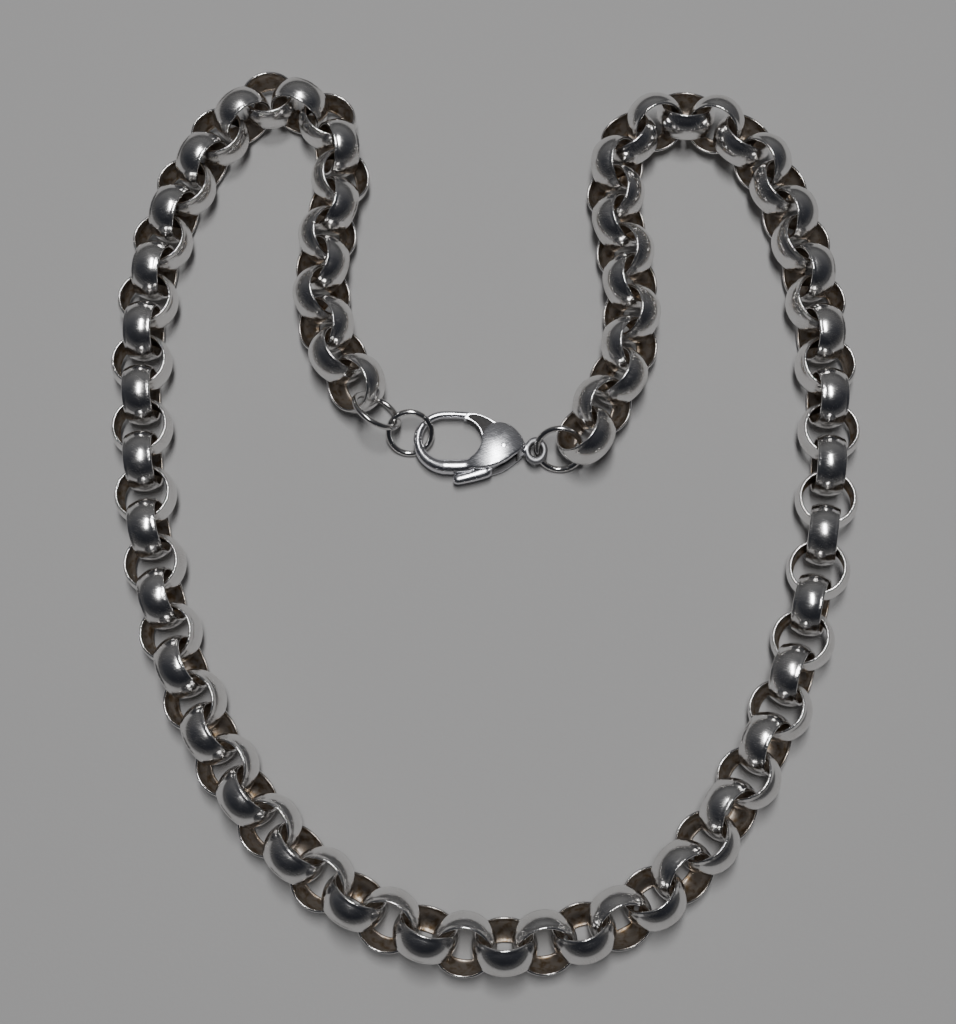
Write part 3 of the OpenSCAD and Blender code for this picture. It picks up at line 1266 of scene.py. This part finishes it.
    def _painted_shade(self, place: Vector) -> float:
        """How far painted shade covers a place of the body.

        Args:
            place: The place, in the clasp's plane.

        Returns:
            Its cover, from 0 to 1: in the slot, at the neck or inside the eye.
        """
        start, end = self.slot_dark
        slot = (Masks.step(abs(place.z), *(self.slot / 2 + past for past in self.wall_dark))
                * Masks.step(place.x, *start) * Masks.step(place.x, *end))
        neck = self.neck_cover * Masks.step(place.x, *self.neck_dark)
        wire = (self.eye_r + past for past in self.eye_dark)
        eye = self.eye_cover * Masks.step(math.dist(place, self.eye), *wire)
        return max(slot, neck, eye)

    def _polish(self, body: bpy.types.Object) -> None:
        """Rounds the places where the hook and the neck run into the cheeks, and the cheeks' edges.

        Args:
            body: The casting.
        """
        blend = body.vertex_groups.new(name="blend")
        spots = [*self.blends, *((x, y, self.edge_reach) for x, y in self.outline if x > self.edge_from)]
        for vertex in body.data.vertices:
            weight = max(Masks.step(math.dist(vertex.co[:2], (x, y)), reach, reach / 2)
                         for x, y, reach in spots)
            if weight > 0:
                blend.add([vertex.index], weight, "REPLACE")
        Bench.apply(body, "SMOOTH", factor=0.9, iterations=self.polish, vertex_group="blend")

    def rivet(self, shift: Flat, finish: bpy.types.Material) -> bpy.types.Object:
        """Sets the rivet, whose small heads stand a hair proud of both cheeks.

        Args:
            shift: What the loop is moved by.
            finish: The material.

        Returns:
            The rivet.
        """
        half = self.plane.thick / 2
        rivet = self.plane.disc(self.plane.rivet_at, self.pin, -half, half)
        rivet.name = "rivet_pin"
        Bench.enter(rivet)
        Bench.pick(rivet, lambda p: abs(p.z) > half * (1 - Bench.NEAR), "FACE")
        bpy.ops.mesh.region_to_loop()
        bpy.ops.mesh.bevel(offset=self.pin_round, segments=4, affect="EDGES")
        Bench.leave()
        Bench.tidy(rivet, Bench.FINE_MERGE)
        Bench.smooth(rivet, self.pin_crease)
        Masks.tarnish_and_shade(rivet)
        self.plane.settle(rivet, shift)
        Bench.hand_over(rivet, finish, Body.NECKLACE, "clasp_rivet", Slot.CLASP)
        return rivet


@dataclass
class ClaspLever:
    """The sprung lever: a wedge that shuts the hook, with a sunk pocket, an arm and a thumb tab.

    Each pair of a `_dark` field says where painted shade starts and where it is full: past the lever's
    faces, along x and along y.
    """

    plane: ClaspPlane
    thick: float = 1.6
    boss: float = 1.75
    bore: float = 0.65
    flat: float = 0.8
    sink: float = 0.16
    grain: float = 0.06
    crease: float = 75.0
    # Painted shade: the matt floors of the gate's pockets are painted dark.
    face_dark: Flat = (-0.05, -0.14)
    x_dark: Flat = (1.6, 1.9)
    y_dark: Flat = (0.1, 0.4)
    gate: Sequence[Flat] = (
        (5.2, -1.6), (4.4, -0.3), (2.6, 1.4), (0.95, 2.95), (1.35, 3.6), (1.95, 4.5), (3.4, 4.5), (4.9, 4.0),
        (6.9, 3.0), (8.6, 0.2), (8.0, -1.2))
    arm: Sequence[Flat] = ((6.3, -1.3), (4.3, -4.8), (4.2, -5.75), (5.4, -5.55), (9.0, -2.6))
    pocket: Sequence[Flat] = (
        (4.85, 0.5), (4.25, 1.9), (3.3, 3.0), (2.35, 3.62), (2.15, 3.9), (2.5, 4.15), (3.4, 4.18), (4.9, 3.7),
        (6.1, 2.95), (6.3, 2.5), (5.6, 1.2))
    pocket_steps: int = 6

    def build(self, shift: Flat, finish: bpy.types.Material) -> bpy.types.Object:
        """Cuts the gate and the arm, sinks the gate's matt pocket and fuses the tab.

        Args:
            shift: What the loop is moved by.
            finish: The material.

        Returns:
            The lever.
        """
        half = self.thick / 2
        gate = Bench.plate("gate", self.gate, -half, half)
        self.plane.drill(gate, self.plane.gate_at, self.plane.gate_r)
        arm = Bench.plate("arm", self.arm, -half, half)
        boss = self.plane.disc(self.plane.rivet_at, self.boss, -half, half)
        tab = Bench.swept("tab", self.plane.tab, flat=self.flat)
        lever = Bench.join([gate, arm, boss, tab])
        lever.name = "clasp_gate"
        Bench.fuse(lever, self.grain, rounds=3)
        for side in (1, -1):
            low, high = sorted((side * (half - self.sink), side * (half + 1)))
            Bench.cut(lever, Bench.plate("pocket", Curve.round(self.pocket, self.pocket_steps), low, high))
        self.plane.drill(lever, self.plane.rivet_at, self.bore)
        Bench.fuse(lever, self.grain, rounds=2)
        Bench.tidy(lever, Bench.FINE_MERGE)
        Masks.tarnish_and_shade(lever, self._painted_shade)
        Bench.smooth(lever, self.crease)
        self.plane.settle(lever, shift)
        Bench.hand_over(lever, finish, Body.LEVER, "clasp_lever", Slot.CLASP)
        return lever

    def _painted_shade(self, place: Vector) -> float:
        """How far painted shade covers a place of the lever.

        Args:
            place: The place, in the clasp's plane.

        Returns:
            Its cover, from 0 to 1: full on the floors of the pockets.
        """
        return (Masks.step(abs(place.z), *(self.thick / 2 + past for past in self.face_dark))
                * Masks.step(place.y, *self.y_dark) * Masks.step(place.x, *self.x_dark))


@dataclass
class Studio:
    """Camera, soft box and room. The camera stands over the middle of the photo's frame."""

    tilt: float = 15.0
    away: float = 270.0
    lens_px: float = 1660.5
    frame_px: float = 1024.0
    clip: float = 0.01
    lamp_at: Point = (0.0, 0.1, 0.78)
    lamp_size: Flat = (0.11, 0.46)
    lamp_power: float = 4.6
    room: Sequence[tuple[float, Colour]] = (
        (0.0, (0.012, 0.013, 0.017)), (0.5, (0.035, 0.037, 0.044)), (0.74, (0.085, 0.086, 0.092)),
        (1.0, (0.17, 0.17, 0.17)))
    low_walls: Colour = (0.075, 0.075, 0.077)
    wall_rise: Flat = (0.12, 0.5)

    def camera(self, shift: Flat) -> None:
        """Sets the camera at the photo's angle.

        Args:
            shift: What the loop is moved by.
        """
        data = bpy.data.cameras.new("camera")
        data.lens = self.lens_px / self.frame_px * data.sensor_width
        data.clip_start = self.clip
        angle = math.radians(self.tilt)
        place = (0.0, -self.away * math.sin(angle), self.away * math.cos(angle))
        camera = bpy.data.objects.new("camera", data)
        camera.location = Bench.move(place, shift).to_translation()
        camera.rotation_euler = (angle, 0, 0)
        bpy.context.scene.collection.objects.link(camera)
        bpy.context.scene.camera = camera

    def lamp(self) -> None:
        """Hangs one long soft box, aimed at the necklace."""
        data = bpy.data.lights.new("key", "AREA")
        data.shape = "RECTANGLE"
        data.size, data.size_y = self.lamp_size
        data.energy = self.lamp_power
        lamp = bpy.data.objects.new("key", data)
        lamp.location = self.lamp_at
        lamp.rotation_euler = (-Vector(self.lamp_at)).to_track_quat("-Z", "Y").to_euler()
        bpy.context.scene.collection.objects.link(lamp)

    def walls(self) -> None:
        """Shades the room from its dark front to its light back, with pale walls low down."""
        world = bpy.data.worlds.new("room")
        bpy.context.scene.world = world
        world.use_nodes = True
        nodes = Nodes(world.node_tree)
        way = nodes.node("ShaderNodeTexCoord").outputs["Generated"]
        split = nodes.node("ShaderNodeSeparateXYZ", {}, {0: way})
        depth = nodes.node("ShaderNodeMapRange", {}, {"Value": split.outputs["Y"], "From Min": -1})
        back = nodes.node("ShaderNodeValToRGB", {"stops": self.room}, {0: depth.outputs[0]})
        height = Value(nodes, split.outputs["Z"]).between(*self.wall_rise)
        colour = nodes.mix(height, self.low_walls, back.outputs[0])
        light = nodes.node("ShaderNodeBackground", {}, {"Color": colour})
        nodes.node("ShaderNodeOutputWorld", {}, {0: light.outputs[0]})


POLISHED = Silver("polished_silver", rim_dent=7e-5)
# Painted shade: the jump rings' silver is a darker copy of the links' silver.
SHADED_WIRE = Silver("ring_wire", colour=(0.68, 0.67, 0.66), film=(0.4, 0.385, 0.37), gloss=0.1)
# The satin finish's dark colour is painted shade, laid in the clasp's slot, on the floors of the lever's
# pockets and over the eye.
SATIN = Silver(
    "satin_silver", colour=(0.78, 0.78, 0.81), film=(0.64, 0.64, 0.665), tarnish_and_shade=(0.085, 0.082, 0.08),
    gloss=0.12, wear=0.07, cover=0.97, soot=0.5, grain=0.14, grain_turn=22)
RINGS = (
    JumpRing("chain_ring", (-16.5, 15.84, 4.31), 50.5, 48.5, 4.0, seam=-60),
    JumpRing("catch_ring", (-11.1, 12.72, 2.42), 33.2, -91.5, 3.5, seam=140),
    JumpRing("clasp_ring", (13.25, 9.74, 3.08), 43.7, -96.8, 3.7, seam=30),
)


def main() -> None:
    """Builds the pieces in order and reports each."""
    logging.basicConfig(level=logging.INFO, format="%(message)s")
    Bench.clear()
    shape = LinkShape()
    run = Run(shape)
    LOG.info("run: %d links, shift %.3f %.3f mm", len(run.seats), *run.shift)
    links = Chain(shape, run, POLISHED).build()
    LOG.info("chain: %d links of %d faces", len(links), len(links[0].data.polygons))
    wire = SHADED_WIRE.material()
    made = [ring.build(run.shift, wire) for ring in RINGS]
    satin = SATIN.material()
    plane = ClaspPlane()
    body = ClaspBody(plane)
    made += [body.build(run.shift, satin), body.rivet(run.shift, satin)]
    made.append(ClaspLever(plane).build(run.shift, satin))
    for piece in made:
        LOG.info("%s: %d faces", piece.name, len(piece.data.polygons))
    Floor().build()
    studio = Studio()
    studio.camera(run.shift)
    studio.lamp()
    studio.walls()


if __name__ == "__main__":
    main()
